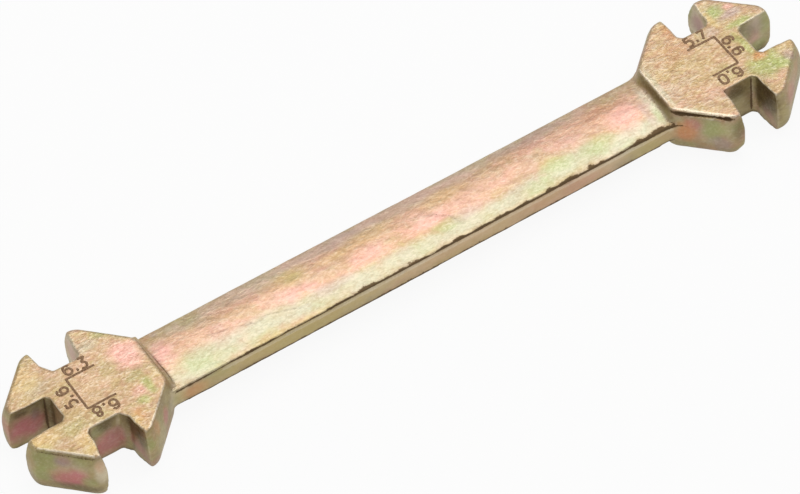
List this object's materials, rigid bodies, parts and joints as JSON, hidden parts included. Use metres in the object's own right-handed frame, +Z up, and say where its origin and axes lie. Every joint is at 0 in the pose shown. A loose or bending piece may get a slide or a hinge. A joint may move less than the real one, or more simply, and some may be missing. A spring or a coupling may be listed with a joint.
{
  "type": "spoke wrench",
  "caption": "Flat double-ended spoke wrench forged in one piece, with a slotted head at each end of a crowned shank that turns spoke nipples of several sizes.",
  "frame": {"origin": "centre of the wrench in plan, on the plane of the heads' lower faces", "axes": "+X along the wrench from the head with the end slot for 5.6 mm to the head with the end slot for 6.6 mm, +Z up through the thickness, +Y towards the slots for 6.3 mm and 5.7 mm"},
  "size_m": [0.1466, 0.0262, 0.0093],
  "materials": {
    "plated_steel": "yellow zinc plating with rosy and green iridescence over forged steel"
  },
  "bodies": {
    "root": {"forged_wrench": "plated_steel"}
  },
  "joints": []
}
